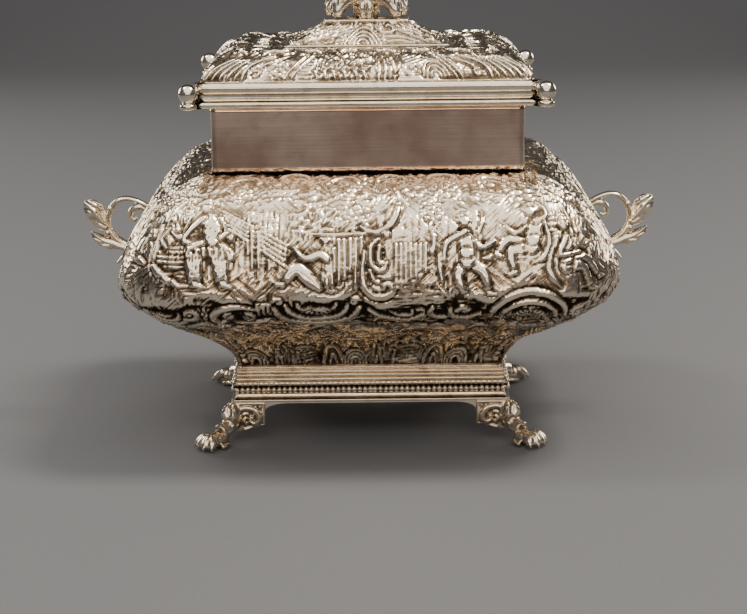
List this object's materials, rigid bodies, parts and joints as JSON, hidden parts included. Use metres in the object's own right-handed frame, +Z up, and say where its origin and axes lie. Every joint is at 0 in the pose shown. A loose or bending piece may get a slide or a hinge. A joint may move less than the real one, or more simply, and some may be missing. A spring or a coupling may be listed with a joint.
{
  "type": "sugar bowl",
  "caption": "Covered silver sugar box with a chased bombe body, a plain neck, paw feet, scroll handles, corner balls and a hinged stepped lid with a blossom finial.",
  "frame": {"origin": "on the table under the middle of the bowl, at the soles of the paws", "axes": "+X along the width from handle to handle, -Y the front, +Z up"},
  "size_m": [0.1738, 0.1262, 0.145],
  "materials": {
    "chased_silver": "chased silver with dark patina in the recesses",
    "polished_silver": "polished silver with fine brushing and light tarnish",
    "cast_silver": "cast and chased silver, worn bright on the high points",
    "plain_fittings": "plain filed silver, slightly dull",
    "gilt_lining": "worn gilding over silver"
  },
  "bodies": {
    "casket": {"bowl_shell": "chased_silver", "waist_band": "chased_silver", "foot_step": "polished_silver", "bead_strip": "polished_silver", "plinth_band": "polished_silver", "base_plate": "plain_fittings", "apron_front": "polished_silver", "apron_back": "polished_silver", "apron_left": "polished_silver", "apron_right": "polished_silver", "foot_front_left": "cast_silver", "foot_front_right": "cast_silver", "foot_back_left": "cast_silver", "foot_back_right": "cast_silver", "neck_collar": "polished_silver", "flange_plate": "polished_silver", "corner_ball_front_left": "polished_silver", "corner_ball_front_right": "polished_silver", "corner_ball_back_left": "polished_silver", "corner_ball_back_right": "polished_silver", "handle_left": "cast_silver", "handle_right": "cast_silver", "hinge_knuckle_left": "plain_fittings", "hinge_knuckle_middle": "plain_fittings", "hinge_knuckle_right": "plain_fittings", "hinge_pin": "plain_fittings"},
    "lid": {"lid_rim": "polished_silver", "lid_bezel": "gilt_lining", "lid_lower_tier": "chased_silver", "lid_upper_tier": "chased_silver", "lid_knuckle_left": "plain_fittings", "lid_knuckle_right": "plain_fittings", "finial_calyx": "cast_silver", "finial_blossom": "cast_silver", "finial_stud": "plain_fittings", "finial_washer": "plain_fittings", "finial_nut": "plain_fittings"}
  },
  "joints": [
    {"name": "lid_hinge", "type": "hinge", "parent": "casket", "child": "lid", "pos_m": [0, 0.0404, 0.10305], "axis": [-1, 0, 0], "range_deg": [0, 100]}
  ]
}
